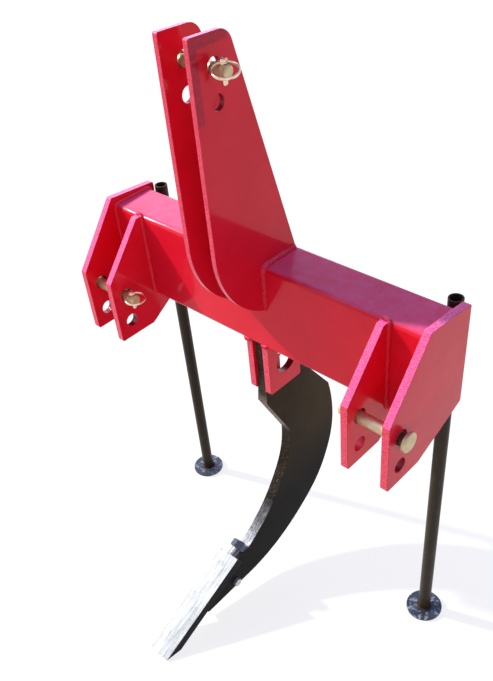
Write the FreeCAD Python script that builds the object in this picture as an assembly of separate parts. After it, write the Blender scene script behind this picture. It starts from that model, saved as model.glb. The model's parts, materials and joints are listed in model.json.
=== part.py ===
import FreeCAD, Part
import math
import os
from FreeCAD import Placement, Rotation, Vector

# Single-shank subsoiler for a three-point hitch, in millimetres.
# It is drawn square to its toolbar: X to the right, Y to the rear, Z up, with Y = 0 inside the toolbar,
# 45 behind its front face, and Z = 0 on its top face. At the end the whole machine leans forward onto its point, as
# it parks, and the origin goes to the bottom centre of its box, on the floor.

# --- Driving dimensions ---------------------------------------------------------------------------

# Toolbar: a rectangular tube standing on its narrow side
beam_front = -45.0
beam_depth = 95.0
beam_height = 186.0
beam_wall = 8.0
beam_corner = 9.0

# Lower hitch: two clevises, each between an outer plate that closes the tube and an inner plate
hitch_spread = 683.0
clevis_gap = 67.0
hitch_plate = 15.0
plate_corner = 5.0
clevis_reach = 108.0
clevis_drop = 65.0
clevis_heel = 19.0
slope_end_drop = 109.0
outer_rise_front = 18.0
outer_rise_rear = 8.0
outer_front_lap = 6.0
outer_rear_lap = 12.0
outer_rear_drop = 11.0
inner_top_lip = 14.0
hitch_hole_reach = 74.0
hitch_hole_drop = 148.0
hitch_hole_pitch = 65.0
hitch_hole = 28.5

# Mast: two plates over the middle of the toolbar
mast_gap = 53.0
mast_plate = 10.0
mast_reach = 107.0
mast_front_height = 418.0
mast_rear_height = 414.0
mast_top_width = 80.0
mast_bow = 172.0
mast_foot_drop = 92.0
mast_top_corner = 27.0
mast_front_corner = 4.0
mast_rear_inset = 4.0
mast_hole = 26.0
mast_hole_inset = 45.0
mast_hole_below_top = 49.0
mast_hole_pitch = 53.0

# Shank and the two plates that clamp its head under the toolbar
shank_thick = 25.0
shank_side_gap = 0.25
clamp_plate = 15.0
clamp_front_inset = 3.0
clamp_rear_inset_left = 17.0
clamp_drop = 123.5
clamp_hole = 54.0
clamp_hole_drop = 62.0
clamp_hole_reach = 51.0
shank_head_gap = 2.0
head_height = 46.0
head_front_inset = 8.0
head_front_depth = 82.0
neck_width = 42.0
shank_bolt = 16.0
shank_bolt_inset = 31.0
shank_bolt_rear_inset = 13.0
shank_bolt_drop = 15.0
bolt_stub = 3.0

# The shank's edges below its neck, from the shoulder down to the nose. The shoulder is given as (y, z) in the
# square machine; the blade's back, front and toe as (behind, above) the point's heel, and they go where it goes
shoulder_drop = 16.5
shoulder = [(72.0, -327.0), (94.0, -331.5)]
shank_back = [(351.0, 282.0), (364.0, 199.0), (357.0, 125.0), (335.0, 68.0),
              (307.0, 23.0), (247.0, -31.0), (151.0, -83.0), (31.0, -105.0)]
shank_front = [(47.0, -16.0), (90.0, 12.0), (135.5, 53.0), (173.5, 104.0),
               (202.0, 159.0), (213.0, 207.0), (214.5, 237.0)]
throat_z = -341.0
nose_reach = 122.0
nose_toe = [(-95.0, -109.0), (-103.75, -99.0)]
saddle_length = 20.0
saddle_rise = 4.0

# Point: a flat chisel bar along the shank's nose
point_width = 53.0
point_thick = 25.0
point_length = 267.0
point_pitch = 25.2
point_bevel = 34.0
point_stud = 20.0
point_stud_length = 38.0
point_nut_height = 18.0
point_heel_y = -193.0
point_heel_z = -699.0
nose_bolt = 12.0
nose_bolt_ahead = 3.0
nose_bolt_below = 91.0

# Hitch pins, each held by a lynch pin
lower_pin = 22.0
top_pin = 19.0
pin_head_thick = 8.0
pin_collar_thick = 3.5
right_pin_shift = 5.5
pin_collar_over = 1.25
pin_cap_over = 1.68
pin_cap_chamfer = 1.5
pin_tail = 30.0
pin_chamfer = 2.0
lynch_reach = 19.0
lynch_pin = 9.0
lynch_below = 12.0
lynch_knob = 13.5
lynch_knob_height = 8.0
lynch_knob_chamfer = 1.2
lynch_wire = 3.6
lynch_ring = 44.0
lower_ring = {"left": (22.0, 3.0), "right": (20.0, 90.0)}
top_ring = (38.0, 15.0)

# Parking stands: tubes that slide in sleeves behind the toolbar
leg_tube = 27.0
leg_wall = 3.0
leg_above_beam = 3.4
leg_length = 860.0
leg_clearance = 0.08
sleeve_wall = 3.2
sleeve_top_drop = 45.0
sleeve_length = 120.0
sleeve_off_beam = 1.0
pad_thick = 7.0
pad_width = 46.0
foot_disc = 80.0
foot_thick = 5.0
clamp_screw = 12.0
screw_boss_length = 10.0
screw_stem = 34.0
screw_handle = 60.0
screw_handle_rod = 8.0

# Fits
seat_gap = 0.2
bolt_clearance = 0.5
thread_clearance = 0.1

# Hexagons: across flats and height as shares of the bolt's diameter
hex_across = 1.5
hex_height = 0.65

# --- Places worked out from them ------------------------------------------------------------------

beam_rear = beam_front + beam_depth
outer_inner_x = hitch_spread / 2 + clevis_gap / 2
inner_outer_x = hitch_spread / 2 - clevis_gap / 2
hitch_hole_y = beam_front - hitch_hole_reach
lower_pin_z = -hitch_hole_drop - (hitch_hole - lower_pin) / 2 + seat_gap
mast_front = beam_front - mast_reach
mast_hole_y = mast_front + mast_hole_inset
mast_hole_z = mast_front_height - mast_hole_below_top
top_pin_z = mast_hole_z - (mast_hole - top_pin) / 2 + seat_gap
clamp_inner_x = shank_thick / 2 + shank_side_gap
clamp_outer_x = clamp_inner_x + clamp_plate
clamp_front = beam_front + clamp_front_inset
clamp_rear = {"right": beam_rear, "left": beam_rear - clamp_rear_inset_left}
clamp_bottom = -beam_height - clamp_drop
sleeve_outer = leg_tube / 2 + leg_clearance + sleeve_wall
leg_x = outer_inner_x - sleeve_outer - seat_gap
leg_y = beam_rear + sleeve_off_beam + sleeve_outer
foot_top = leg_above_beam - leg_length


# --- Making shapes --------------------------------------------------------------------------------

def rounded_wire(points, x):
    """A closed outline in the plane at x; each point is (y, z) or (y, z, corner radius)."""
    edges = []
    count = len(points)
    joints = []
    for i in range(count):
        here = Vector(x, points[i][0], points[i][1])
        before = Vector(x, points[i - 1][0], points[i - 1][1])
        after = Vector(x, points[(i + 1) % count][0], points[(i + 1) % count][1])
        radius = points[i][2] if len(points[i]) > 2 else 0.0
        to_before = (before - here).normalize()
        to_after = (after - here).normalize()
        half = to_before.getAngle(to_after) / 2
        if radius <= 0 or half > math.radians(89.5):
            joints.append((here, here, None))
            continue
        setback = radius / math.tan(half)
        middle_line = (to_before + to_after).normalize()
        middle = here + middle_line * (radius / math.sin(half) - radius)
        joints.append((here + to_before * setback, here + to_after * setback, middle))
    for i in range(count):
        start, end, middle = joints[i]
        if middle is not None:
            edges.append(Part.Arc(start, middle, end).toShape())
        following = joints[(i + 1) % count][0]
        if (following - end).Length > 1e-6:
            edges.append(Part.LineSegment(end, following).toShape())
    return Part.Wire(edges)


def slab(wire, thickness):
    """The outline filled and thickened towards +X."""
    return Part.Face(wire).extrude(Vector(thickness, 0, 0))


def rod(diameter, start, end):
    """A round bar between two points."""
    line = end - start
    return Part.makeCylinder(diameter / 2, line.Length, start, line)


def hexagon(across_flats, start, end):
    """A hexagonal prism between two points."""
    line = end - start
    turn = Rotation(Vector(0, 0, 1), line)
    corners = []
    for i in range(7):
        angle = math.radians(60 * i)
        corner = Vector(math.cos(angle), math.sin(angle), 0) * (across_flats / math.sqrt(3))
        corners.append(start + turn.multVec(corner))
    return Part.Face(Part.makePolygon(corners)).extrude(line)


def on_side(side, shape):
    """The shape as drawn for the right side, or its mirror image for the left."""
    if side == "right":
        return shape
    return shape.mirror(Vector(0, 0, 0), Vector(1, 0, 0))


def joined(shapes):
    """Pieces that are made or welded as one."""
    return shapes[0].fuse(shapes[1:]).removeSplitter()


# --- Toolbar --------------------------------------------------------------------------------------

def beam_solid():
    """The toolbar's outer form, filled."""
    outline = [(beam_front, 0, beam_corner), (beam_rear, 0, beam_corner),
               (beam_rear, -beam_height, beam_corner), (beam_front, -beam_height, beam_corner)]
    return slab(rounded_wire(outline, -outer_inner_x), 2 * outer_inner_x)


def beam():
    bore_corner = beam_corner - beam_wall
    front, rear = beam_front + beam_wall, beam_rear - beam_wall
    top, bottom = -beam_wall, -beam_height + beam_wall
    bore = [(front, top, bore_corner), (rear, top, bore_corner),
            (rear, bottom, bore_corner), (front, bottom, bore_corner)]
    return beam_solid().cut(slab(rounded_wire(bore, -outer_inner_x), 2 * outer_inner_x))


# --- Lower hitch ----------------------------------------------------------------------------------

def clevis_front_outline():
    """The corners that the outer and inner plates share, from the front one down and back."""
    front = beam_front - clevis_reach
    return [(front, -slope_end_drop, plate_corner),
            (front, -beam_height - clevis_drop, plate_corner),
            (beam_front - clevis_heel, -beam_height - clevis_drop, plate_corner)]


def hitch_holes(x, thickness):
    low = -hitch_hole_drop - hitch_hole_pitch
    return [rod(hitch_hole, Vector(x, hitch_hole_y, z), Vector(x + thickness, hitch_hole_y, z))
            for z in (-hitch_hole_drop, low)]


def outer_hitch_plate():
    top_front = (beam_front - outer_front_lap, outer_rise_front, plate_corner)
    rear_top = (beam_rear + outer_rear_lap, outer_rise_rear, plate_corner)
    rear_low = (beam_rear + outer_rear_lap, -beam_height - outer_rear_drop, plate_corner)
    outline = [top_front] + clevis_front_outline() + [rear_low, rear_top]
    plate = slab(rounded_wire(outline, outer_inner_x), hitch_plate)
    return plate.cut(hitch_holes(outer_inner_x, hitch_plate))


def inner_hitch_plate():
    inner_x = inner_outer_x - hitch_plate
    outline = [(beam_front - inner_top_lip, 0)] + clevis_front_outline()
    outline += [(beam_rear - beam_corner, -beam_height), (0, -beam_height / 2), (0, 0)]
    plate = slab(rounded_wire(outline, inner_x), hitch_plate)
    plate = plate.cut([beam_solid()] + hitch_holes(inner_x, hitch_plate))
    keep_front = Part.makeBox(hitch_plate, beam_depth, 2 * beam_height,
                              Vector(inner_x, beam_front, -beam_height + beam_corner))
    return plate.cut(keep_front)


# --- Mast -----------------------------------------------------------------------------------------

def mast_plate_shape():
    """A plate over the toolbar's top whose bowed front edge runs down to the toolbar's front face."""
    across = mast_reach - mast_bow
    depth_below = math.sqrt(mast_bow ** 2 - across ** 2)
    tangent_y = across / depth_below
    corner_z = -mast_foot_drop - mast_reach * tangent_y
    inside_y = beam_front + beam_wall
    inside_z = -mast_foot_drop + beam_wall * tangent_y
    outline = [(mast_front, mast_front_height, mast_front_corner),
               (mast_front, corner_z, mast_bow),
               (inside_y, inside_z),
               (inside_y, -beam_corner),
               (beam_rear - mast_rear_inset, -beam_corner),
               (beam_rear - mast_rear_inset, 0),
               (mast_front + mast_top_width, mast_rear_height, mast_top_corner)]
    plate = slab(rounded_wire(outline, mast_gap / 2), mast_plate)
    holes = [rod(mast_hole, Vector(mast_gap / 2, mast_hole_y, z),
                 Vector(mast_gap / 2 + mast_plate, mast_hole_y, z))
             for z in (mast_hole_z, mast_hole_z - mast_hole_pitch)]
    return plate.cut([beam_solid()] + holes)


# --- Shank ----------------------------------------------------------------------------------------

def clamp_bolt_places():
    z = -beam_height - shank_bolt_drop
    return [(clamp_front + shank_bolt_inset, z), (clamp_rear["left"] - shank_bolt_rear_inset, z)]


def clamp_plate_shape(side):
    rear = clamp_rear[side]
    outline = [(clamp_front, -beam_height), (clamp_front, clamp_bottom, plate_corner),
               (rear, clamp_bottom, plate_corner), (rear, -beam_height)]
    plate = slab(rounded_wire(outline, clamp_inner_x), clamp_plate)
    far_x = clamp_inner_x + clamp_plate
    holes = [rod(shank_bolt + bolt_clearance, Vector(clamp_inner_x, y, z), Vector(far_x, y, z))
             for y, z in clamp_bolt_places()]
    if side == "right":
        middle = clamp_front + clamp_hole_reach
        z = -beam_height - clamp_hole_drop
        holes.append(rod(clamp_hole, Vector(clamp_inner_x, middle, z), Vector(far_x, middle, z)))
    return plate.cut([beam_solid()] + holes)


def curve(points):
    spline = Part.BSplineCurve()
    spline.interpolate([Vector(0, y, z) for y, z in points])
    return spline.toShape()


def straight(points):
    return [Part.LineSegment(Vector(0, *a), Vector(0, *b)).toShape()
            for a, b in zip(points, points[1:])]


point_along = Vector(0, -math.cos(math.radians(point_pitch)), -math.sin(math.radians(point_pitch)))
point_up = Vector(0, -math.sin(math.radians(point_pitch)), math.cos(math.radians(point_pitch)))
point_heel = Vector(0, point_heel_y, point_heel_z)
nose_start = point_heel - point_up * point_thick
nose_end = nose_start + point_along * nose_reach
nose_bolt_y = point_heel_y - nose_bolt_ahead
nose_bolt_z = point_heel_z - nose_bolt_below


def from_heel(points):
    """Edge points given from the point's heel, where they are on the machine."""
    return [(point_heel_y + behind, point_heel_z + above) for behind, above in points]


def shank():
    """A curved blade: head between the clamp plates, shoulder behind them, nose under the point."""
    head_top = -beam_height - shank_head_gap
    head_bottom = head_top - head_height
    neck_rear = clamp_front + neck_width
    shoulder_z = clamp_bottom - shoulder_drop
    saddle = (nose_start.y + saddle_length, nose_start.z + saddle_rise)
    back, front, toe = from_heel(shank_back), from_heel(shank_front), from_heel(nose_toe)
    head_front = (clamp_front + head_front_inset, head_top)
    front_bend = (head_front[0], head_top - head_front_depth)
    edges = straight([head_front, (clamp_rear["left"], head_top),
                      (clamp_rear["left"], head_bottom),
                      (neck_rear, head_bottom), (neck_rear, shoulder_z)]
                     + shoulder + [back[0]])
    edges.append(curve(back))
    edges += straight([back[-1]] + toe + [(nose_end.y, nose_end.z),
                      (nose_start.y, nose_start.z), saddle, front[0]])
    edges.append(curve(front))
    edges += straight([front[-1], (clamp_front, throat_z), front_bend, head_front])
    blade = Part.Face(Part.Wire(edges)).extrude(Vector(shank_thick, 0, 0))
    blade.translate(Vector(-shank_thick / 2, 0, 0))
    half = Vector(shank_thick / 2, 0, 0)
    holes = []
    for y, z in clamp_bolt_places():
        at = Vector(0, y, z)
        holes.append(rod(shank_bolt + bolt_clearance, at - half, at + half))
    at = Vector(0, nose_bolt_y, nose_bolt_z)
    holes.append(rod(nose_bolt + bolt_clearance, at - half, at + half))
    return blade.cut(holes)


def through_bolt(diameter, y, z, grip):
    """A hexagon bolt across the machine with its head on the right and its nut on the left."""
    head = hex_height * diameter
    flats = hex_across * diameter
    stem = rod(diameter, Vector(-grip - head - bolt_stub, y, z), Vector(grip, y, z))
    cap = hexagon(flats, Vector(grip, y, z), Vector(grip + head, y, z))
    nut = hexagon(flats, Vector(-grip - head, y, z), Vector(-grip, y, z))
    return joined([stem, cap, nut])


# --- Point ----------------------------------------------------------------------------------------

def point():
    """The chisel bar, bevelled underneath at its tip, with a stud at its rear end."""
    tip = point_heel + point_along * point_length
    heel = tip - point_along * point_bevel - point_up * point_thick
    under_rear = point_heel - point_up * point_thick
    outline = [(v.y, v.z) for v in (point_heel, tip, heel, under_rear)]
    bar = slab(rounded_wire(outline, -point_width / 2), point_width)
    middle = point_heel - point_up * (point_thick / 2)
    return joined([bar, rod(point_stud, middle, middle - point_along * point_stud_length)])


def point_nut():
    middle = point_heel - point_up * (point_thick / 2)
    end = middle - point_along * (point_stud_length - 1)
    start = end + point_along * point_nut_height
    bore = rod(point_stud + 2 * thread_clearance, start, end)
    return hexagon(hex_across * point_stud, start, end).cut(bore)


# --- Hitch pins -----------------------------------------------------------------------------------

def cross_pin(diameter, y, z, head_x, tail_x):
    """A pin from its collar and head at head_x to its tail beyond tail_x, along -X."""
    collar = rod(diameter * pin_collar_over, Vector(head_x, y, z), Vector(head_x + pin_collar_thick, y, z))
    cap_start = Vector(head_x + pin_collar_thick, y, z)
    cap = rod(diameter * pin_cap_over, cap_start, cap_start + Vector(pin_head_thick, 0, 0))
    cap = cap.makeChamfer(pin_cap_chamfer, [e for e in cap.Edges if len(e.Vertexes) == 1])
    end = Vector(tail_x - pin_tail, y, z)
    stem = rod(diameter, end, Vector(head_x, y, z))
    tail_edge = [e for e in stem.Edges if len(e.Vertexes) == 1 and abs(e.BoundBox.XMin - end.x) < 0.1]
    stem = stem.makeChamfer(pin_chamfer, tail_edge)
    whole = joined([stem, collar, cap])
    hole_x = tail_x - lynch_reach
    reach = Vector(0, 0, diameter)
    at = Vector(hole_x, y, z)
    return whole.cut(rod(lynch_pin + 2 * thread_clearance, at - reach, at + reach))


def lynch(diameter, y, z, plate_x, ring):
    """A lynch pin down through a hitch pin's tail. Its spring ring is swung to the front by the first
    angle and droops by the second; at 90 degrees it hangs round the tail."""
    swing, droop = ring
    x = plate_x - lynch_reach
    knob_base = Vector(x, y, z + diameter / 2 + seat_gap)
    stem = rod(lynch_pin, Vector(x, y, z - diameter / 2 - lynch_below), knob_base)
    knob = rod(lynch_knob, knob_base, knob_base + Vector(0, 0, lynch_knob_height))
    knob = knob.makeChamfer(lynch_knob_chamfer, [e for e in knob.Edges if len(e.Vertexes) == 1])
    outward = Vector(-math.cos(math.radians(swing)), -math.sin(math.radians(swing)), 0)
    sink, run = math.sin(math.radians(droop)), math.cos(math.radians(droop))
    radius = (lynch_ring - lynch_wire) / 2
    hinge = knob_base + Vector(0, 0, lynch_wire / 2 + seat_gap)
    middle = hinge + outward * (radius * run) - Vector(0, 0, radius * sink)
    ring = Part.makeTorus(radius, lynch_wire / 2, middle, Vector(0, 0, run) + outward * sink)
    return joined([stem, knob, ring])


# --- Parking stands -------------------------------------------------------------------------------

def stand_leg():
    top = Vector(leg_x, leg_y, leg_above_beam)
    bottom = Vector(leg_x, leg_y, foot_top)
    return rod(leg_tube, bottom, top).cut(rod(leg_tube - 2 * leg_wall, bottom, top))


def stand_foot():
    return rod(foot_disc, Vector(leg_x, leg_y, foot_top - foot_thick), Vector(leg_x, leg_y, foot_top))


def screw_place():
    return Vector(leg_x, leg_y, -sleeve_top_drop - sleeve_length / 2)


inward = Vector(-1, 0, 0)


def stand_sleeve():
    """A pad on the toolbar's rear face, the sleeve welded to it, and a boss for the clamp screw."""
    top = Vector(leg_x, leg_y, -sleeve_top_drop)
    bottom = top - Vector(0, 0, sleeve_length)
    tube = rod(2 * sleeve_outer, bottom, top)
    pad = Part.makeBox(pad_width, pad_thick, sleeve_length,
                       Vector(outer_inner_x - seat_gap - pad_width, beam_rear, bottom.z))
    at = screw_place()
    boss_end = at + inward * (sleeve_outer + screw_boss_length)
    boss = hexagon(clamp_screw * 1.8, at, boss_end)
    bore = rod(leg_tube + 2 * leg_clearance, bottom, top)
    thread = rod(clamp_screw + 2 * thread_clearance, at, boss_end)
    return joined([tube, pad, boss]).cut([bore, thread])


def stand_screw():
    """A clamp screw against the leg, bent round by a bar through its end."""
    at = screw_place()
    start = at + inward * (leg_tube / 2 + leg_clearance)
    end = at + inward * (sleeve_outer + screw_boss_length + screw_stem)
    half = Vector(0, 0, screw_handle / 2)
    middle = end - inward * screw_handle_rod
    return joined([rod(clamp_screw, start, end), rod(screw_handle_rod, middle - half, middle + half)])


# --- The machine, square to its toolbar ------------------------------------------------------------

nodes = {"beam": beam(), "shank": shank(), "point": point(), "point_nut": point_nut()}
for side in ("left", "right"):
    nodes["hitch_plate_outer_" + side] = on_side(side, outer_hitch_plate())
    nodes["hitch_plate_inner_" + side] = on_side(side, inner_hitch_plate())
    nodes["mast_plate_" + side] = on_side(side, mast_plate_shape())
    nodes["shank_plate_" + side] = on_side(side, clamp_plate_shape(side))
    shift = right_pin_shift if side == "right" else 0.0
    pin_tail_x = inner_outer_x - hitch_plate + shift
    pin_head_x = outer_inner_x + hitch_plate + shift
    nodes["lower_pin_" + side] = on_side(
        side, cross_pin(lower_pin, hitch_hole_y, lower_pin_z, pin_head_x + seat_gap, pin_tail_x))
    nodes["lower_lynch_pin_" + side] = on_side(
        side, lynch(lower_pin, hitch_hole_y, lower_pin_z, pin_tail_x, lower_ring[side]))
    nodes["stand_leg_" + side] = on_side(side, stand_leg())
    nodes["stand_foot_" + side] = on_side(side, stand_foot())
    nodes["stand_sleeve_" + side] = on_side(side, stand_sleeve())
    nodes["stand_screw_" + side] = on_side(side, stand_screw())

mast_outer_x = mast_gap / 2 + mast_plate
nodes["top_link_pin"] = on_side(
    "left", cross_pin(top_pin, mast_hole_y, top_pin_z, mast_outer_x + seat_gap, -mast_outer_x))
nodes["top_lynch_pin"] = on_side(
    "left", lynch(top_pin, mast_hole_y, top_pin_z, -mast_outer_x, top_ring))
for place, (y, z) in zip(("front", "rear"), clamp_bolt_places()):
    nodes["shank_bolt_" + place] = through_bolt(shank_bolt, y, z, clamp_outer_x)
nodes["nose_bolt"] = through_bolt(nose_bolt, nose_bolt_y, nose_bolt_z, shank_thick / 2)

# --- Parked: leaning forward until the edge under the point's tip and the feet's front rims are level

tip_heel = point_heel + point_along * (point_length - point_bevel) - point_up * point_thick
foot_rim = Vector(0, leg_y - foot_disc / 2, foot_top - foot_thick)
lean = math.atan2(tip_heel.z - foot_rim.z, foot_rim.y - tip_heel.y)
lean_turn = Placement(Vector(0, 0, 0), Rotation(Vector(1, 0, 0), math.degrees(lean)))
for shape in nodes.values():
    shape.Placement = lean_turn.multiply(shape.Placement)
box = Part.makeCompound(list(nodes.values())).optimalBoundingBox(False, False)
floor_z = lean_turn.multVec(foot_rim).z
to_origin = Vector(0, -(box.YMin + box.YMax) / 2, -floor_z)


def parked(point_square):
    """A point of the square machine, where it is on the parked one."""
    return lean_turn.multVec(point_square) + to_origin


if __name__ == "__main__":
    os.makedirs("parts", exist_ok=True)
    for name, shape in nodes.items():
        shape.translate(to_origin)
        shape.exportStep("parts/" + name + ".step")
    print("lean in degrees:", round(math.degrees(lean), 3), " pieces:", len(nodes))
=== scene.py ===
import json
import math
import random

import bmesh
import bpy
from mathutils import Matrix, Vector


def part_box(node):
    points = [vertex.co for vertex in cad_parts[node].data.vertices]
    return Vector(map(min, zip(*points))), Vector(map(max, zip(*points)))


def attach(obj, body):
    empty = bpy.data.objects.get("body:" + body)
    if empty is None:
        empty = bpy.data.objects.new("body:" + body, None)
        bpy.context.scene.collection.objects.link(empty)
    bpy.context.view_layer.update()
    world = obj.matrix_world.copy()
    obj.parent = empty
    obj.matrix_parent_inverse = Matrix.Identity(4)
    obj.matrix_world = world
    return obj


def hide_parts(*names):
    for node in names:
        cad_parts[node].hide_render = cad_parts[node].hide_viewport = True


# A single-shank subsoiler on its parking stands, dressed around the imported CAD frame.
# New pieces are built square to the toolbar, as the part's source draws them: X right, Y rear, Z up,
# zero on the toolbar's top face, 45 mm behind its front face. PARK leans them with the machine.
# Their lengths are written in millimetres and turned into metres by MM.

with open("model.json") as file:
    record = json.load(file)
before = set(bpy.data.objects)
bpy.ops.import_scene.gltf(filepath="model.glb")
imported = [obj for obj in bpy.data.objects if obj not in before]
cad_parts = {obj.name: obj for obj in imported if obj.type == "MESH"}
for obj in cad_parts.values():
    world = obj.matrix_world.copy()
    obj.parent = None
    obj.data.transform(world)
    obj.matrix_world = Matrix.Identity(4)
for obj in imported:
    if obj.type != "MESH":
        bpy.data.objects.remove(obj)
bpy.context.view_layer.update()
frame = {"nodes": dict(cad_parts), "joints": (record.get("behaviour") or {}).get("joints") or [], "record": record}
nodes = frame["nodes"]
MM = 0.001

# --- From the square machine to the parked one ----------------------------------------------------

LOWER_PIN_YZ = (-0.119, -0.15105)
slide_axis = Vector(frame["joints"][0]["axis"])
lean = math.atan2(-slide_axis.y, slide_axis.z)
pin_low, pin_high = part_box("lower_pin_right")
pin_middle = (pin_low + pin_high) / 2
turn = Matrix.Rotation(lean, 4, "X")
offset = Vector((0, pin_middle.y, pin_middle.z)) - turn @ Vector((0, *LOWER_PIN_YZ))
PARK = Matrix.Translation(offset) @ turn


# --- Sizes shared with the part's source ----------------------------------------------------------

BEAM_FRONT, BEAM_REAR, BEAM_HEIGHT, BEAM_CORNER = -45.0, 50.0, 186.0, 9.0
OUTER_INNER_X, INNER_OUTER_X, HITCH_PLATE = 375.0, 308.0, 15.0
MAST_OUTER_X, MAST_INNER_X, MAST_REAR, MAST_FOOT = 36.5, 26.5, 46.0, -92.0
CLAMP_INNER_X, CLAMP_OUTER_X, CLAMP_FRONT = 12.75, 27.75, -42.0
CLAMP_REAR = {"right": 50.0, "left": 33.0}
SHANK_BOLTS = {"shank_bolt_front": (-11.0, -201.0), "shank_bolt_rear": (20.0, -201.0)}
NOSE_BOLT = (-196.0, -790.0)
CLAMP_OPENING = (9.0, -248.0)
HITCH_HOLES, MAST_HOLES = ((-119.0, -148.0), (-119.0, -213.0)), ((-107.0, 369.0), (-107.0, 316.0))

# In metres: where the walls of holes begin and end, and the lower end of the mast's brushed band
HOLE_WALL, OPENING_WALL, BAND_END = (0.0158, 0.0146), (0.0290, 0.0278), 0.296
LEG_X, LEG_Y, FOOT_TOP = 357.85, 67.78, -856.6
SLEEVE_OUTER, SLEEVE_TOP, SLEEVE_BOTTOM, PAD_REAR, PAD_INNER_X = 16.78, -45.0, -165.0, 57.0, 328.8
POINT_HEEL, POINT_PITCH, POINT_THICK = (-193.0, -699.0), 25.2, 25.0
STUD, STUD_LENGTH, NUT_HEIGHT = 20.0, 38.0, 18.0
SHANK_THICK = 25.0
LYNCH_BELOW, LYNCH_WIRE, LYNCH_RADIUS = 12.0, 3.6, 20.2
LOWER_Y, LOWER_Z, TOP_Y, TOP_Z = -119.0, -151.05, -107.0, 365.7
TOP_PIN, LOWER_PIN = 19.0, 22.0

# --- Camera ---------------------------------------------------------------------------------------

CAMERA_PLACE = (0.88264, -0.89378, 1.51541)
CAMERA_TURN = (53.118, 1.201, 43.466)
SENSOR_HEIGHT = 24.0
LENS = 27.788
SHIFT = (0.00126, 0.0730)

camera_data = bpy.data.cameras.new("camera")
camera_data.sensor_fit = "VERTICAL"
camera_data.sensor_height = SENSOR_HEIGHT
camera_data.lens = LENS
camera_data.shift_x, camera_data.shift_y = SHIFT
camera = bpy.data.objects.new("camera", camera_data)
camera.location = CAMERA_PLACE
camera.rotation_euler = [math.radians(a) for a in CAMERA_TURN]
bpy.context.scene.collection.objects.link(camera)
bpy.context.scene.camera = camera


# --- Shader helpers -------------------------------------------------------------------------------

class Tree:
    """Builds one material's node tree with short calls."""

    def __init__(self, name):
        self.material = bpy.data.materials.new(name)
        self.material.use_nodes = True
        self.nodes = self.material.node_tree.nodes
        self.links = self.material.node_tree.links
        self.nodes.clear()
        self.output = self.nodes.new("ShaderNodeOutputMaterial")

    def put(self, socket, value):
        if isinstance(value, bpy.types.NodeSocket):
            self.links.new(value, socket)
        elif isinstance(value, (tuple, list)) and len(value) == 3 and socket.type == "RGBA":
            socket.default_value = (*value, 1)
        else:
            socket.default_value = value

    def node(self, kind, settings=None, **inputs):
        made = self.nodes.new(kind)
        for key, value in (settings or {}).items():
            setattr(made, key, value)
        for key, value in inputs.items():
            self.put(made.inputs[key.replace("_", " ")], value)
        return made

    def place(self):
        return self.node("ShaderNodeTexCoord").outputs["Object"]

    def normal(self):
        return self.node("ShaderNodeTexCoord").outputs["Normal"]

    def split(self, vector):
        return self.node("ShaderNodeSeparateXYZ", Vector=vector).outputs

    def math(self, operation, a, b=0.0, clamp=False):
        made = self.nodes.new("ShaderNodeMath")
        made.operation = operation
        made.use_clamp = clamp
        self.put(made.inputs[0], a)
        self.put(made.inputs[1], b)
        return made.outputs[0]

    def mapped(self, scale=(1, 1, 1), rotation=(0, 0, 0)):
        """The object's own coordinates, first turned, then stretched."""
        turned = self.node("ShaderNodeMapping", Vector=self.place())
        turned.inputs["Rotation"].default_value = rotation
        made = self.node("ShaderNodeMapping", Vector=turned.outputs[0])
        made.inputs["Scale"].default_value = scale
        return made.outputs[0]

    def square(self):
        """X, Y and Z of a CAD node in the square machine, in metres."""
        back = self.node("ShaderNodeMapping", Vector=self.place())
        back.inputs["Rotation"].default_value = (-lean, 0, 0)
        back.inputs["Location"].default_value = PARK.inverted().translation
        return self.split(back.outputs[0])

    def away_from(self, y, z, centre):
        """Distance in metres from a line along X, whose (y, z) is given in millimetres."""
        squares = [self.math("POWER", self.math("SUBTRACT", value, number * MM), 2.0)
                   for value, number in zip((y, z), centre)]
        return self.math("SQRT", self.math("ADD", *squares))

    def noise(self, scale, detail=2.0, roughness=0.5, vector=None, distortion=0.0):
        made = self.node("ShaderNodeTexNoise", Vector=vector or self.place(), Scale=scale,
                         Detail=detail, Roughness=roughness, Distortion=distortion)
        return made.outputs["Fac"]

    def between(self, value, low, high, to_low=0.0, to_high=1.0):
        made = self.nodes.new("ShaderNodeMapRange")
        made.clamp = True
        self.put(made.inputs["Value"], value)
        for key, number in (("From Min", low), ("From Max", high), ("To Min", to_low),
                            ("To Max", to_high)):
            made.inputs[key].default_value = number
        return made.outputs["Result"]

    def blend(self, share, a, b, kind="MIX"):
        made = self.nodes.new("ShaderNodeMix")
        made.data_type = "RGBA"
        made.blend_type = kind
        self.put(made.inputs["Factor"], share)
        self.put([i for i in made.inputs if i.name == "A" and i.type == "RGBA"][0], a)
        self.put([i for i in made.inputs if i.name == "B" and i.type == "RGBA"][0], b)
        return [o for o in made.outputs if o.type == "RGBA"][0]

    def bump(self, height, distance, strength=1.0, normal=None):
        made = self.node("ShaderNodeBump", Height=height)
        made.inputs["Distance"].default_value = distance
        made.inputs["Strength"].default_value = strength
        if normal is not None:
            self.put(made.inputs["Normal"], normal)
        return made.outputs["Normal"]

    def surface(self, **inputs):
        made = self.nodes.new("ShaderNodeBsdfPrincipled")
        for key, value in inputs.items():
            self.put(made.inputs[key.replace("_", " ")], value)
        self.links.new(made.outputs[0], self.output.inputs["Surface"])
        return self.material


# --- Materials ------------------------------------------------------------------------------------

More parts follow.
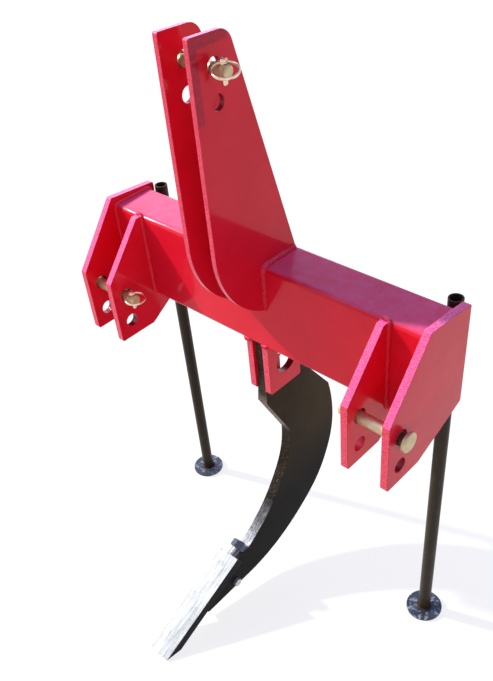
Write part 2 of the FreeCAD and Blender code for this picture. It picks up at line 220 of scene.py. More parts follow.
def red_enamel(name, cut_edges, brushed=False, coat=0.43, dust_and_sky_sheen_most=0.19):
    """Glossy crimson enamel. Faces that look up get a pale purple film, partly dust and partly painted reflection
    of the blue sky. On plates that lie across X the flame-cut edges are rough and paler, with painted sky
    reflection where they look up, and the walls of holes are darkened as painted shade. The brushed one has a
    darker second coat along the upper front and top edges of its right face."""
    t = Tree(name)
    broad = t.noise(7.0, 3.0, 0.6)
    colour = t.blend(t.between(broad, 0.35, 0.65), (0.69, 0.006, 0.021), (0.77, 0.010, 0.031))
    peel = t.math("MULTIPLY", t.noise(330.0, 2.0, 0.5), 0.35)
    rough = t.between(t.noise(60.0, 4.0, 0.6), 0.3, 0.7, 0.30, 0.42)
    up = t.split(t.normal())[2]
    # Faces that look up blend towards pale purple: partly dust, partly painted reflection of the blue sky.
    patchy = t.between(t.noise(38.0, 5.0, 0.7), 0.35, 0.75, dust_and_sky_sheen_most * 0.5, dust_and_sky_sheen_most)
    dust_and_sky_sheen = t.math("MULTIPLY", t.between(up, 0.55, 0.95), patchy)
    colour = t.blend(dust_and_sky_sheen, colour, (0.72, 0.42, 0.95))
    if brushed:
        x, y, z = t.square()
        ragged = t.math("MULTIPLY", t.noise(90.0, 4.0, 0.7), 0.006)
        front = t.math("MULTIPLY", t.between(t.math("ADD", y, ragged), -0.1335, -0.1350),
                       t.between(t.math("ADD", z, ragged), BAND_END - 0.004, BAND_END + 0.004))
        top = t.math("MULTIPLY", t.between(t.math("ADD", z, ragged), 0.4015, 0.4035),
                     t.between(y, -0.074, -0.080))
        right_face = t.between(t.split(t.normal())[0], 0.6, 0.9)
        band = t.math("MULTIPLY", t.math("MAXIMUM", front, top), right_face)
        strokes = t.between(t.noise(150.0, 4.0, 0.7), 0.35, 0.65, 0.45, 0.95)
        colour = t.blend(t.math("MULTIPLY", band, strokes), colour, (0.36, 0.008, 0.030))
    height = peel
    if cut_edges:
        across = t.math("ABSOLUTE", t.split(t.normal())[0])
        edge = t.between(across, 0.80, 0.45)
        speck = t.noise(520.0, 3.0, 0.65)
        grooves = t.noise(1.0, 3.0, 0.6, vector=t.mapped((60.0, 620.0, 620.0)))
        pale = t.blend(t.between(speck, 0.42, 0.62), (0.70, 0.018, 0.045), (0.88, 0.11, 0.17))
        # Where cut edges look up they blend towards pink-blue: painted reflection of the sky.
        sky = t.blend(t.between(speck, 0.42, 0.62), (0.74, 0.06, 0.22), (0.92, 0.24, 0.52))
        pale = t.blend(t.between(up, 0.10, 0.75), pale, sky)
        colour = t.blend(edge, colour, pale)
        # The walls of the holes and of the right clamp plate's opening are darkened: painted shade inside the
        # holes.
        hole_wall_painted_shade = 0.0
        x, y, z = t.square()
        for hole in HITCH_HOLES + MAST_HOLES:
            hole_wall_painted_shade = t.math("MAXIMUM", t.between(t.away_from(y, z, hole), *HOLE_WALL), hole_wall_painted_shade)
        opening = t.between(t.away_from(y, z, CLAMP_OPENING), *OPENING_WALL)
        right_only = t.between(x, 0.004, 0.008)
        hole_wall_painted_shade = t.math("MAXIMUM", t.math("MULTIPLY", opening, right_only), hole_wall_painted_shade)
        colour = t.blend(t.math("MULTIPLY", hole_wall_painted_shade, edge), colour, (0.30, 0.006, 0.020))
        cut = t.math("ADD", t.math("MULTIPLY", grooves, 1.6), t.math("MULTIPLY", speck, 1.2))
        height = t.math("ADD", peel, t.math("MULTIPLY", edge, cut))
    normal = t.bump(height, 0.00022, 0.75)
    return t.surface(Base_Color=colour, Roughness=rough, Specular_IOR_Level=0.05, Coat_Weight=coat,
                     Coat_Roughness=0.06, Normal=normal, Coat_Normal=normal)


def shank_paint():
    """Satin olive-black paint, nearly black low down, tan along the throat and scoured bright along the
    lower leading edge."""
    t = Tree("shank_black")
    broad = t.noise(14.0, 4.0, 0.6)
    colour = t.blend(t.between(broad, 0.3, 0.7), (0.035, 0.024, 0.012), (0.051, 0.036, 0.018))
    place, facing = t.square(), t.split(t.normal())
    rearward = t.math("ADD", place[1], t.math("MULTIPLY", broad, 0.08))
    olive = t.math("MULTIPLY", t.between(rearward, 0.07, 0.17), t.between(place[2], -0.60, -0.46))
    colour = t.blend(t.math("MULTIPLY", olive, 0.7), colour, (0.074, 0.053, 0.023))
    colour = t.blend(t.between(place[2], -0.52, -0.66, 0.0, 0.88), colour, (0.009, 0.0095, 0.008))
    edge = t.math("MULTIPLY", t.between(t.math("ABSOLUTE", facing[0]), 0.85, 0.5),
                  t.between(facing[1], -0.2, -0.5))
    grain = t.noise(260.0, 4.0, 0.65)
    height = place[2]
    throat = t.math("MULTIPLY", t.between(height, -0.470, -0.440),
                    t.between(height, -0.322, -0.338))
    tan = t.math("MULTIPLY", t.math("MULTIPLY", edge, throat), t.between(grain, 0.38, 0.58, 0.25, 0.9))
    colour = t.blend(tan, colour, (0.34, 0.26, 0.17))
    low = t.between(t.math("ADD", height, t.math("MULTIPLY", t.noise(30.0, 3.0, 0.6), 0.10)),
                    -0.585, -0.665)
    worn = t.math("MULTIPLY", t.math("MULTIPLY", edge, low), t.between(grain, 0.30, 0.48, 0.1, 1.0))
    specks = t.math("MULTIPLY", edge, t.between(t.noise(420.0, 2.0, 0.5), 0.60, 0.66, 0.0, 0.35))
    worn = t.math("MAXIMUM", worn, specks)
    streak = t.noise(1.0, 3.0, 0.6, vector=t.mapped((700.0, 40.0, 40.0)))
    steel = t.blend(t.between(streak, 0.35, 0.65), (0.16, 0.165, 0.16), (0.44, 0.45, 0.44))
    colour = t.blend(worn, colour, steel)
    rough = t.math("ADD", t.between(broad, 0.3, 0.7, 0.34, 0.46), t.math("MULTIPLY", worn, 0.02))
    normal = t.bump(t.noise(360.0, 4.0, 0.65), 0.0003, 0.5)
    return t.surface(Base_Color=colour, Metallic=t.math("MULTIPLY", worn, 0.5), Roughness=rough,
                     Specular_IOR_Level=0.03, Normal=normal)


def stand_paint():
    t = Tree("stand_black")
    broad = t.noise(22.0, 4.0, 0.6)
    colour = t.blend(t.between(broad, 0.3, 0.7), (0.028, 0.019, 0.009), (0.041, 0.029, 0.014))
    scuffs = t.between(t.noise(1.0, 3.0, 0.6, vector=t.mapped((240.0, 240.0, 26.0))), 0.64, 0.70, 0.0, 0.35)
    colour = t.blend(scuffs, colour, (0.10, 0.10, 0.095))
    normal = t.bump(t.noise(300.0, 3.0, 0.6), 0.0002, 0.4)
    return t.surface(Base_Color=colour, Roughness=0.36, Specular_IOR_Level=0.12, Normal=normal)


def foot_steel():
    t = Tree("foot_steel")
    spots = t.noise(95.0, 4.0, 0.65)
    broad = t.noise(30.0, 3.0, 0.6)
    # The blue tint of the dark steel and of its pale spots is painted sky reflection.
    colour = t.blend(t.between(broad, 0.3, 0.7), (0.022, 0.030, 0.040), (0.050, 0.066, 0.082))
    colour = t.blend(t.between(spots, 0.53, 0.64), colour, (0.30, 0.36, 0.42))
    normal = t.bump(spots, 0.0004, 0.5)
    return t.surface(Base_Color=colour, Metallic=0.25, Roughness=0.42, Normal=normal)


def scoured_steel():
    """Bare steel with scratches along the point."""
    t = Tree("point_steel")
    turned = math.radians(POINT_PITCH) + lean
    along = t.mapped((420.0, 14.0, 420.0), (-turned, 0, 0))
    fine = t.noise(1.0, 4.0, 0.65, vector=along)
    wide = t.noise(1.0, 3.0, 0.6, vector=t.mapped((130.0, 5.0, 130.0), (-turned, 0, 0)))
    patches = t.noise(26.0, 4.0, 0.6)
    colour = t.blend(t.between(fine, 0.32, 0.68), (0.21, 0.23, 0.205), (0.54, 0.57, 0.545))
    colour = t.blend(t.between(wide, 0.50, 0.66, 0.0, 0.7), colour, (0.62, 0.645, 0.635))
    colour = t.blend(t.between(patches, 0.52, 0.72, 0.0, 0.5), colour, (0.22, 0.245, 0.20))
    pitted = t.noise(1.0, 3.0, 0.7, vector=t.mapped((300.0, 70.0, 300.0), (-turned, 0, 0)))
    pits = t.between(pitted, 0.60, 0.68, 0.0, 0.7)
    colour = t.blend(pits, colour, (0.12, 0.13, 0.115))
    sides = t.between(t.math("ABSOLUTE", t.split(t.normal())[0]), 0.45, 0.75)
    colour = t.blend(t.math("MULTIPLY", sides, 0.97), colour, (0.005, 0.005, 0.0045))
    normal = t.bump(t.math("ADD", fine, t.math("MULTIPLY", wide, 0.6)), 0.0005, 0.7)
    metal = t.math("SUBTRACT", 0.25, t.math("MULTIPLY", sides, 0.25))
    return t.surface(Base_Color=colour, Metallic=metal, Roughness=0.48, Specular_IOR_Level=0.05,
                     Normal=normal)


def plated(name, low, high, metallic, roughness, collar_shade=False):
    """Zinc plating; one copy is darkened round the collar that stands off the right outer plate: painted shade in
    the gap between plate and head, partly grease.
    """
    t = Tree(name)
    spots = t.noise(110.0, 4.0, 0.65)
    colour = t.blend(t.between(spots, 0.3, 0.7), low, high)
    if collar_shade:
        # Painted shade, partly grease, in the gap between the plate and the pin's head.
        x = t.square()[0]
        dark = t.math("MULTIPLY", t.between(x, 0.3860, 0.3890), t.between(x, 0.3993, 0.3990))
        colour = t.blend(t.math("MULTIPLY", dark, 0.88), colour, (0.030, 0.012, 0.010))
    rough = t.between(t.noise(240.0, 3.0, 0.6), 0.3, 0.7, roughness - 0.05, roughness + 0.07)
    normal = t.bump(t.noise(420.0, 3.0, 0.6), 0.00015, 0.4)
    return t.surface(Base_Color=colour, Metallic=metallic, Roughness=rough, Normal=normal)


YELLOW_ZINC = ((0.50, 0.40, 0.19), (0.70, 0.58, 0.33), 0.6, 0.40)
RED_PLATE = red_enamel("red_plate", True)
# The tube gets more of the up-facing purple film, partly dust and partly painted sky reflection.
RED_TUBE = red_enamel("red_tube", False, coat=0.30, dust_and_sky_sheen_most=0.28)
RED_BRUSHED = red_enamel("red_plate_brushed", True, brushed=True)
MATERIALS = {
    "red_paint": RED_PLATE,
    "shank_black": shank_paint(),
    "stand_black": stand_paint(),
    "point_steel": scoured_steel(),
    "dark_zinc": plated("dark_zinc", (0.045, 0.062, 0.072), (0.11, 0.14, 0.155), 0.6, 0.34),
    "bright_zinc": plated("bright_zinc", (0.50, 0.54, 0.52), (0.68, 0.71, 0.68), 0.75, 0.34),
    "yellow_zinc": plated("yellow_zinc", *YELLOW_ZINC),
}
RING_ZINC = plated("ring_zinc", (0.66, 0.48, 0.28), (0.90, 0.76, 0.55), 0.95, 0.20)
SPECIAL = {"beam": RED_TUBE, "mast_plate_right": RED_BRUSHED, "stand_foot_left": foot_steel()}
SPECIAL["stand_foot_right"] = SPECIAL["stand_foot_left"]
SPECIAL["lower_pin_right"] = plated("zinc_painted_collar_shade", *YELLOW_ZINC, collar_shade=True)
SPECIAL["stand_sleeve_left"] = SPECIAL["stand_sleeve_right"] = RED_TUBE
slot_of = {p["node"]: p["material_slot"] for p in frame["record"]["subparts"]}

EDGE_WIDTH = {"red_paint": 0.9, "shank_black": 0.9, "stand_black": 0.5, "point_steel": 0.8,
              "dark_zinc": 0.5, "bright_zinc": 0.4, "yellow_zinc": 0.3}
for name, node in nodes.items():
    node.data.materials.clear()
    node.data.materials.append(SPECIAL.get(name, MATERIALS[slot_of[name]]))
    if "lynch" in name:
        continue
    weld = node.modifiers.new("weld", "WELD")
    weld.merge_threshold = 0.00001
    flat = node.modifiers.new("flat", "DECIMATE")
    flat.decimate_type = "DISSOLVE"
    flat.angle_limit = math.radians(0.4)
    soften = node.modifiers.new("soften", "BEVEL")
    soften.width = EDGE_WIDTH[slot_of[name]] * MM
    soften.segments = 2
    soften.limit_method = "ANGLE"
    soften.angle_limit = math.radians(38)
    soften.use_clamp_overlap = True
    even = node.modifiers.new("even", "WEIGHTED_NORMAL")
    even.keep_sharp = False


# --- Mesh helpers ---------------------------------------------------------------------------------

class Form:
    """Points and faces of one added piece, gathered in millimetres in the square machine."""

    def __init__(self):
        self.points, self.faces = [], []

    def rings(self, rings, closed=False, capped=True):
        """Joins rings of equal length into a skin; a closed one joins its last ring to its first."""
        base, size = len(self.points), len(rings[0])
        for ring in rings:
            self.points += [tuple(p) for p in ring]
        steps = len(rings) if closed else len(rings) - 1
        for i in range(steps):
            here, there = base + i * size, base + (i + 1) % len(rings) * size
            for j in range(size):
                k = (j + 1) % size
                self.faces.append((here + j, here + k, there + k, there + j))
        if capped and not closed:
            self.faces.append(tuple(base + j for j in reversed(range(size))))
            self.faces.append(tuple(base + steps * size + j for j in range(size)))

    def piece(self, name, material, body="frame", stands_for=(), smooth=40.0):
        mesh = bpy.data.meshes.new(name)
        mesh.from_pydata([[c * MM for c in p] for p in self.points], [], self.faces)
        work = bmesh.new()
        work.from_mesh(mesh)
        bmesh.ops.recalc_face_normals(work, faces=work.faces)
        work.to_mesh(mesh)
        work.free()
        mesh.polygons.foreach_set("use_smooth", [True] * len(mesh.polygons))
        mesh.set_sharp_from_angle(angle=math.radians(smooth))
        mesh.materials.append(material)
        made = bpy.data.objects.new(name, mesh)
        bpy.context.scene.collection.objects.link(made)
        made.matrix_world = PARK
        bpy.context.view_layer.update()
        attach(made, body)
        if stands_for:
            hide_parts(*stands_for)
        return made


def frame_along(direction):
    """Two directions square to this one and to each other."""
    direction = Vector(direction).normalized()
    helper = Vector((0, 0, 1)) if abs(direction.z) < 0.9 else Vector((1, 0, 0))
    first = direction.cross(helper).normalized()
    return first, direction.cross(first).normalized()


def lathe(form, start, direction, profile, count=40, radius_at=None):
    """Turns (distance along, radius) pairs round a line; radius_at may change a ring's radius by angle."""
    start, direction = Vector(start), Vector(direction).normalized()
    first, second = frame_along(direction)
    rings = []
    for along, radius in profile:
        ring = []
        for j in range(count):
            angle = 2 * math.pi * j / count
            r, shift = (radius, 0.0) if radius_at is None else radius_at(along, radius, angle)
            ring.append(start + direction * (along + shift)
                        + (first * math.cos(angle) + second * math.sin(angle)) * r)
        rings.append(ring)
    form.rings(rings)


def bead(form, path, radius, facing, seed, pitch=3.4):
    """A weld bead along a polyline in an inside corner: overlapping crescents on a slightly uneven rope."""
    rand = random.Random(seed)
    points = [Vector(p) for p in path]
    lengths = [(b - a).length for a, b in zip(points, points[1:])]
    total = sum(lengths)
    steps = max(6, int(total / 1.3))
    facing = Vector(facing).normalized()
    waves = [(rand.uniform(25, 70), rand.uniform(0, 6.28), rand.uniform(0.03, 0.07)) for _ in range(3)]
    rings = []
    for i in range(steps + 1):
        s = total * i / steps
        k, rest = 0, s
        while k < len(lengths) - 1 and rest > lengths[k]:
            rest -= lengths[k]
            k += 1
        along = (points[k + 1] - points[k]).normalized()
        at = points[k] + along * min(rest, lengths[k])
        if k + 1 < len(lengths) and lengths[k] - rest < radius:
            ahead = (points[k + 2] - points[k + 1]).normalized()
            along = (along + ahead * (1 - (lengths[k] - rest) / radius) * 0.5).normalized()
        first = (facing - along * facing.dot(along)).normalized() if abs(facing.dot(along)) < 0.95 \
            else frame_along(along)[0]
        second = along.cross(first)
        uneven = 1 + sum(a * math.sin(s / w * 6.28 + p) for w, p, a in waves)
        phase = (s / pitch) % 1.0
        ripple = 1 + 0.20 * (1 - abs(2 * phase - 1) ** 2)
        end = min(s, total - s)
        taper = math.sqrt(min(1.0, (end + 0.6) / (radius * 1.1)))
        r = radius * uneven * ripple * taper
        ring = []
        for j in range(10):
            angle = 2 * math.pi * j / 10
            lag = -0.7 * pitch * (1 - max(0.0, math.cos(angle))) if 0 < i < steps else 0.0
            ring.append(at + along * lag + (first * math.cos(angle) + second * math.sin(angle)) * r)
        rings.append(ring)
    form.rings(rings)


def round_corner(middle, radius, start, end, x, count=6):
    """Points on an arc in the plane at x, by angle from +Y towards +Z in degrees."""
    return [(x, middle[0] + radius * math.cos(math.radians(start + (end - start) * i / count)),
             middle[1] + radius * math.sin(math.radians(start + (end - start) * i / count)))
            for i in range(count + 1)]


def mirrored(path, sign):
    return [(sign * x, y, z) for x, y, z in path]


# --- Weld beads -----------------------------------------------------------------------------------

low = -BEAM_HEIGHT
front_in, rear_in = BEAM_FRONT + BEAM_CORNER, BEAM_REAR - BEAM_CORNER
for side, sign in (("left", -1), ("right", 1)):
    form = Form()
    for x, out in ((MAST_OUTER_X, 1), (MAST_INNER_X, -1)):
        path = [(x, MAST_REAR - 1.0, -0.8), (x, rear_in, 0.0), (x, front_in, 0.0)]
        path += round_corner((front_in, -BEAM_CORNER), BEAM_CORNER, 90, 180, x)[1:]
        path += [(x, BEAM_FRONT, MAST_FOOT + 3.0)]
        bead(form, mirrored(path, sign), 6.4 if out > 0 else 4.2, (sign * out, -0.6, 0.8), 11 + x)
    foot = [(MAST_OUTER_X + 2.0, BEAM_FRONT, MAST_FOOT + 2.0),
            (MAST_INNER_X - 1.0, BEAM_FRONT, MAST_FOOT + 1.0)]
    bead(form, mirrored(foot, sign), 4.6, (0, -1, -0.6), 23)
    form.piece("weld_mast_" + side, RED_TUBE)

    form = Form()
    for x, out in ((INNER_OUTER_X, 1), (INNER_OUTER_X - HITCH_PLATE, -1)):
        path = [(x, BEAM_FRONT + 2.0, 0.0), (x, BEAM_FRONT - 0.5, -3.0), (x, BEAM_FRONT, low + BEAM_CORNER)]
        path += round_corner((front_in, low + BEAM_CORNER), BEAM_CORNER, 180, 270, x)[1:]
        path += [(x, rear_in, low)]
        bead(form, mirrored(path, sign), 4.8, (sign * out, -0.7, -0.5), 31 + x)
    top = [(INNER_OUTER_X + 1.0, BEAM_FRONT + 2.5, -0.5),
           (INNER_OUTER_X - HITCH_PLATE - 1.0, BEAM_FRONT + 2.5, -0.5)]
    bead(form, mirrored(top, sign), 4.4, (0, 0.3, 1), 37)
    form.piece("weld_hitch_inner_" + side, RED_TUBE)

    form = Form()
    x = OUTER_INNER_X
    path = [(x, BEAM_REAR, SLEEVE_TOP + 6.0), (x, BEAM_REAR, -BEAM_CORNER)]
    path += round_corner((rear_in, -BEAM_CORNER), BEAM_CORNER, 0, 90, x)[1:]
    path += [(x, front_in, 0.0)]
    path += round_corner((front_in, -BEAM_CORNER), BEAM_CORNER, 90, 180, x)[1:]
    path += [(x, BEAM_FRONT, low + BEAM_CORNER)]
    path += round_corner((front_in, low + BEAM_CORNER), BEAM_CORNER, 180, 270, x)[1:]
    path += [(x, rear_in, low)]
    bead(form, mirrored(path, sign), 4.4, (-sign, -0.3, 0.3), 41)
    form.piece("weld_hitch_outer_" + side, RED_TUBE)

    form = Form()
    rear = CLAMP_REAR[side]
    path = [(CLAMP_INNER_X + 1.0, CLAMP_FRONT, low), (CLAMP_OUTER_X, CLAMP_FRONT, low),
            (CLAMP_OUTER_X, rear, low), (CLAMP_INNER_X + 1.0, rear, low)]
    bead(form, mirrored(path, sign), 4.6, (sign, -0.2, -1), 53)
    form.piece("weld_clamp_" + side, RED_TUBE)

    form = Form()
    pad_edge = [(PAD_INNER_X, BEAM_REAR, SLEEVE_TOP), (PAD_INNER_X, BEAM_REAR, SLEEVE_BOTTOM)]
    bead(form, mirrored(pad_edge, sign), 4.0, (-sign, 1, 0), 61)
    half_seam = math.sqrt(SLEEVE_OUTER ** 2 - (LEG_Y - PAD_REAR) ** 2)
    for x, out in ((LEG_X - half_seam, -1), (LEG_X + half_seam, 1)):
        bead(form, mirrored([(x, PAD_REAR, SLEEVE_TOP - 2.0), (x, PAD_REAR, SLEEVE_BOTTOM + 2.0)], sign),
             3.2, (sign * out, 1, 0), 67)
    form.piece("weld_sleeve_" + side, RED_TUBE)

    form = Form()
    ring = [(LEG_X + 13.7 * math.cos(a / 24 * math.pi), LEG_Y + 13.7 * math.sin(a / 24 * math.pi), FOOT_TOP)
            for a in range(49)]
    bead(form, mirrored(ring, sign), 3.0, (0, 0, 1), 71, pitch=2.2)
    form.piece("weld_foot_" + side, MATERIALS["stand_black"], body="stand_" + side)


# --- Bolts, nuts and the point's stud -------------------------------------------------------------

def hexagon(form, start, direction, across, height, both=False):
    """A hexagon head or nut, its corners turned down by the chamfer that a real one has."""
    flat = across / 2
    crown = flat * 0.95

    def turned(along, radius, angle):
        local = (angle + math.pi / 6) % (math.pi / 3) - math.pi / 6
        reach = flat / math.cos(local)
        if radius < flat:
            return radius, 0.0
        drop = (reach - crown) * math.tan(math.radians(30))
        if along > height / 2:
            return reach, -drop
        return reach, drop if both else 0.0
    low_profile = [(0, crown * 0.9), (0, crown)] if both else [(0, crown * 0.98), (0, crown)]
    lathe(form, start, direction, low_profile + [(0, across), (height, across), (height, crown),
                                                 (height, crown * 0.9)], 60, turned)


def thread(form, start, direction, radius, length, pitch):
    """A threaded end: one helical groove on a round bar."""
    depth = pitch * 0.42

    def cut(along, r, angle):
        phase = (along / pitch - angle / (2 * math.pi)) % 1.0
        return r - depth * abs(2 * phase - 1) * (r / radius), 0.0
    steps = int(length / pitch * 8)
    profile = [(length * i / steps, radius) for i in range(steps + 1)]
    profile += [(length + 0.6, radius - depth), (length + 0.6, radius * 0.3)]
    lathe(form, start, direction, profile, 36, cut)


SHANK_HEX, SHANK_HEX_HEIGHT, SHANK_BOLT_RADIUS = 24.0, 10.4, 8.0
NOSE_HEX, NOSE_HEX_HEIGHT, NOSE_BOLT_RADIUS = 18.0, 7.8, 6.0
RIGHTWARD, LEFTWARD = (1, 0, 0), (-1, 0, 0)
for name, (y, z) in SHANK_BOLTS.items():
    form = Form()
    hexagon(form, (CLAMP_OUTER_X, y, z), RIGHTWARD, SHANK_HEX, SHANK_HEX_HEIGHT)
    lathe(form, (CLAMP_OUTER_X + SHANK_HEX_HEIGHT - 0.9, y, z), RIGHTWARD,
          [(0, 11.0), (0.9, 10.6), (0.9, 9.2), (0.6, 8.8), (0.6, 1.0)], 48)
    lathe(form, (CLAMP_OUTER_X, y, z), LEFTWARD,
          [(0, SHANK_BOLT_RADIUS), (2 * CLAMP_OUTER_X, SHANK_BOLT_RADIUS)], 40)
    hexagon(form, (-CLAMP_OUTER_X, y, z), LEFTWARD, SHANK_HEX, SHANK_HEX_HEIGHT, both=True)
    thread(form, (-CLAMP_OUTER_X - 9.0, y, z), LEFTWARD, SHANK_BOLT_RADIUS, 3.8, 2.0)
    form.piece(name + "_detail", MATERIALS["bright_zinc"], stands_for=(name,), smooth=32)

form = Form()
y, z = NOSE_BOLT
blade_side = SHANK_THICK / 2
hexagon(form, (blade_side, y, z), RIGHTWARD, NOSE_HEX, NOSE_HEX_HEIGHT)
lathe(form, (blade_side, y, z), LEFTWARD,
      [(0, NOSE_BOLT_RADIUS), (SHANK_THICK, NOSE_BOLT_RADIUS)], 36)
hexagon(form, (-blade_side, y, z), LEFTWARD, NOSE_HEX, NOSE_HEX_HEIGHT, both=True)
thread(form, (-19.0, y, z), LEFTWARD, NOSE_BOLT_RADIUS, 3.7, 1.75)
form.piece("nose_bolt_detail", MATERIALS["bright_zinc"],
           stands_for=("nose_bolt",), smooth=32)

pitch = math.radians(POINT_PITCH)
along = Vector((0, -math.cos(pitch), -math.sin(pitch)))
upward = Vector((0, -math.sin(pitch), math.cos(pitch)))
stud_root = Vector((0, *POINT_HEEL)) - upward * (POINT_THICK / 2)
nut_end = stud_root - along * (STUD_LENGTH - 1)
form = Form()
hexagon(form, nut_end, along, 30.0, NUT_HEIGHT, both=True)
form.piece("point_nut_detail", MATERIALS["dark_zinc"],
           stands_for=("point_nut",), smooth=32)
form = Form()
thread(form, stud_root, -along, STUD / 2 + 0.35, STUD_LENGTH + 0.4, 2.5)
form.piece("point_stud_thread", MATERIALS["bright_zinc"], smooth=50)

# --- Lynch pins -----------------------------------------------------------------------------------

def lynch(name, hitch_pin, x, y, z, swing, droop):
    """A tapered pin with a turned knob and a flattened spring ring, swung and drooping by these angles."""
    form = Form()
    knob_base = z + hitch_pin / 2 + 0.2
    stem = hitch_pin + LYNCH_BELOW + 0.2
    lathe(form, (x, y, knob_base), (0, 0, -1),
          [(-0.4, 3.0), (-0.4, 4.5), (stem - 4.0, 4.5), (stem - 1.6, 3.7),
           (stem - 0.4, 2.6), (stem, 1.0)], 32)
    lathe(form, (x, y, knob_base), (0, 0, 1),
          [(0, 4.0), (0, 5.9), (0.5, 6.5), (1.3, 6.75), (5.6, 6.75), (6.8, 6.4),
           (7.6, 5.5), (8.0, 4.3), (8.0, 2.2), (7.5, 1.6), (7.4, 0.4)], 40)
    outward = Vector((math.cos(swing), math.sin(swing), 0))
    hinge = Vector((x, y, knob_base + LYNCH_WIRE / 2 + 0.2))
    middle = hinge + outward * (LYNCH_RADIUS * math.cos(droop)) \
        - Vector((0, 0, LYNCH_RADIUS * math.sin(droop)))
    axis = (Vector((0, 0, math.cos(droop))) + outward * math.sin(droop)).normalized()
    first, second = frame_along(axis)
    rings = []
    for i in range(96):
        angle = 2 * math.pi * i / 96
        out = first * math.cos(angle) + second * math.sin(angle)
        rings.append([middle + out * (LYNCH_RADIUS + 1.7 * math.cos(b)) + axis * (2.5 * math.sin(b))
                      for b in (2 * math.pi * j / 14 for j in range(14))])
    form.rings(rings, closed=True)
    form.piece(name + "_detail", RING_ZINC, stands_for=(name,), smooth=35)


lynch("top_lynch_pin", TOP_PIN, 55.5, TOP_Y, TOP_Z, math.radians(-38), math.radians(15))
lynch("lower_lynch_pin_left", LOWER_PIN, -274.0, LOWER_Y, LOWER_Z, math.radians(-22), math.radians(3))
lynch("lower_lynch_pin_right", LOWER_PIN, 279.5, LOWER_Y, LOWER_Z, math.radians(200), math.radians(90))

# --- Floor, background and light ------------------------------------------------------------------

FLOOR_SIZE = 40.0
floor_mesh = bpy.data.meshes.new("floor")
half = FLOOR_SIZE / 2
floor_mesh.from_pydata([(-half, -half, 0), (half, -half, 0), (half, half, 0), (-half, half, 0)],
                       [], [(0, 1, 2, 3)])
floor = bpy.data.objects.new("floor", floor_mesh)
bpy.context.scene.collection.objects.link(floor)
t = Tree("floor")
rays = t.node("ShaderNodeLightPath").outputs
seen = t.math("MAXIMUM", t.math("MAXIMUM", rays["Is Camera Ray"], rays["Is Glossy Ray"]),
              rays["Is Transmission Ray"])
plain = t.node("ShaderNodeBsdfDiffuse", Color=(0.62, 0.62, 0.62))
white = t.node("ShaderNodeEmission", Color=(1, 1, 1), Strength=0.80)
shaded = t.node("ShaderNodeBsdfDiffuse", Color=(0.20, 0.20, 0.20))
both = t.nodes.new("ShaderNodeAddShader")
t.links.new(white.outputs[0], both.inputs[0])
t.links.new(shaded.outputs[0], both.inputs[1])
choice = t.nodes.new("ShaderNodeMixShader")
t.links.new(seen, choice.inputs[0])
t.links.new(plain.outputs[0], choice.inputs[1])
t.links.new(both.outputs[0], choice.inputs[2])
t.links.new(choice.outputs[0], t.output.inputs["Surface"])
floor_mesh.materials.append(t.material)

# Towards the sun, from the front left; KEY, GLOW and PANEL are the lamps' strengths
KEY, GLOW, PANEL = 3.85, 0.6, 34.0
TO_SUN = turn.to_3x3() @ Vector((-0.722, -0.287, 0.630))

world = bpy.data.worlds.new("world")
bpy.context.scene.world = world
world.use_nodes = True
tree = world.node_tree
background = tree.nodes["Background"]


def world_node(kind, **inputs):
    made = tree.nodes.new(kind)
    for key, value in inputs.items():
        socket = made.inputs[key.replace("_", " ")]
        if isinstance(value, bpy.types.NodeSocket):
            tree.links.new(value, socket)
        else:
            socket.default_value = value
    return made


coordinates = world_node("ShaderNodeTexCoord").outputs["Generated"]
height = world_node("ShaderNodeSeparateXYZ", Vector=coordinates).outputs["Z"]
climb = world_node("ShaderNodeMapRange", Value=height, From_Min=0.05, From_Max=0.75)
sky = tree.nodes.new("ShaderNodeMix")
sky.data_type = "RGBA"
tree.links.new(climb.outputs["Result"], sky.inputs["Factor"])
colours = [i for i in sky.inputs if i.type == "RGBA"]
colours[0].default_value = (1, 1, 1, 1)
colours[1].default_value = (0.52, 0.52, 1.0, 1)
rays = tree.nodes.new("ShaderNodeLightPath").outputs
to_camera = tree.nodes.new("ShaderNodeMix")
to_camera.data_type = "RGBA"
tree.links.new(rays["Is Camera Ray"], to_camera.inputs["Factor"])
colours = [i for i in to_camera.inputs if i.type == "RGBA"]
tree.links.new([o for o in sky.outputs if o.type == "RGBA"][0], colours[0])
colours[1].default_value = (1, 1, 1, 1)
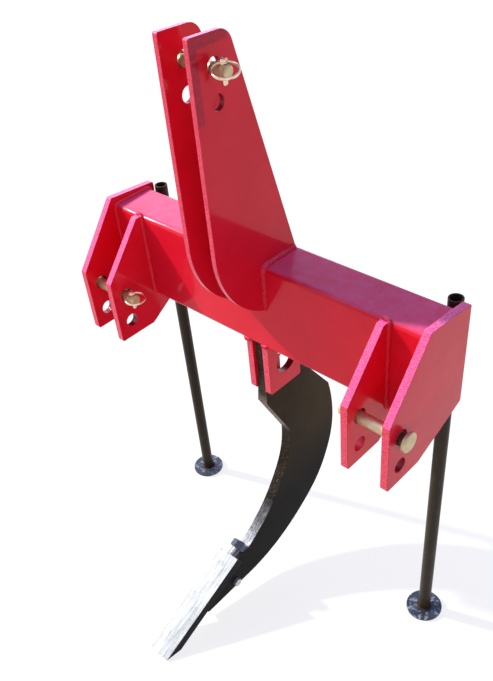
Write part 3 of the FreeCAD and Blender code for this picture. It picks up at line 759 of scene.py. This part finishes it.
tree.links.new([o for o in to_camera.outputs if o.type == "RGBA"][0], background.inputs["Color"])
AMBIENT, HALO = 0.60, 2.2
seen = world_node("ShaderNodeMath")
seen.operation = "MAXIMUM"
tree.links.new(rays["Is Camera Ray"], seen.inputs[0])
tree.links.new(rays["Is Glossy Ray"], seen.inputs[1])
strength = world_node("ShaderNodeMapRange", Value=seen.outputs[0], To_Min=AMBIENT, To_Max=1.0)
toward = tree.nodes.new("ShaderNodeVectorMath")
toward.operation = "DOT_PRODUCT"
tree.links.new(coordinates, toward.inputs[0])
toward.inputs[1].default_value = TO_SUN
halo = world_node("ShaderNodeMapRange", Value=toward.outputs["Value"], From_Min=0.72, From_Max=0.98,
                  To_Max=HALO)
in_gloss = world_node("ShaderNodeMath")
in_gloss.operation = "MULTIPLY"
tree.links.new(halo.outputs["Result"], in_gloss.inputs[0])
tree.links.new(rays["Is Glossy Ray"], in_gloss.inputs[1])
level = world_node("ShaderNodeMath")
level.operation = "ADD"
tree.links.new(strength.outputs["Result"], level.inputs[0])
tree.links.new(in_gloss.outputs[0], level.inputs[1])
tree.links.new(level.outputs[0], background.inputs["Strength"])


def lamp(name, kind, energy, place, toward, **settings):
    data = bpy.data.lights.new(name, kind)
    data.energy = energy
    for key, value in settings.items():
        setattr(data, key, value)
    made = bpy.data.objects.new(name, data)
    made.location = place
    made.rotation_euler = Vector(toward).to_track_quat("Z", "Y").to_euler()
    made.visible_camera = False
    bpy.context.scene.collection.objects.link(made)
    return made


lamp("key", "SUN", KEY, (0, 0, 3), TO_SUN, angle=math.radians(2.0), color=(1.0, 0.985, 0.96))
lamp("glow", "SUN", GLOW, (0, 0, 3), TO_SUN, angle=math.radians(34.0), color=(1.0, 0.95, 0.98))
PANEL_AT = Vector((-2.6, 1.9, 1.7))
lamp("rear_panel", "AREA", PANEL, PANEL_AT, PANEL_AT - Vector((0, 0, 0.7)), shape="RECTANGLE", size=3.0,
     size_y=2.0, color=(1.0, 0.92, 0.98))

bpy.context.scene.view_settings.view_transform = "Standard"
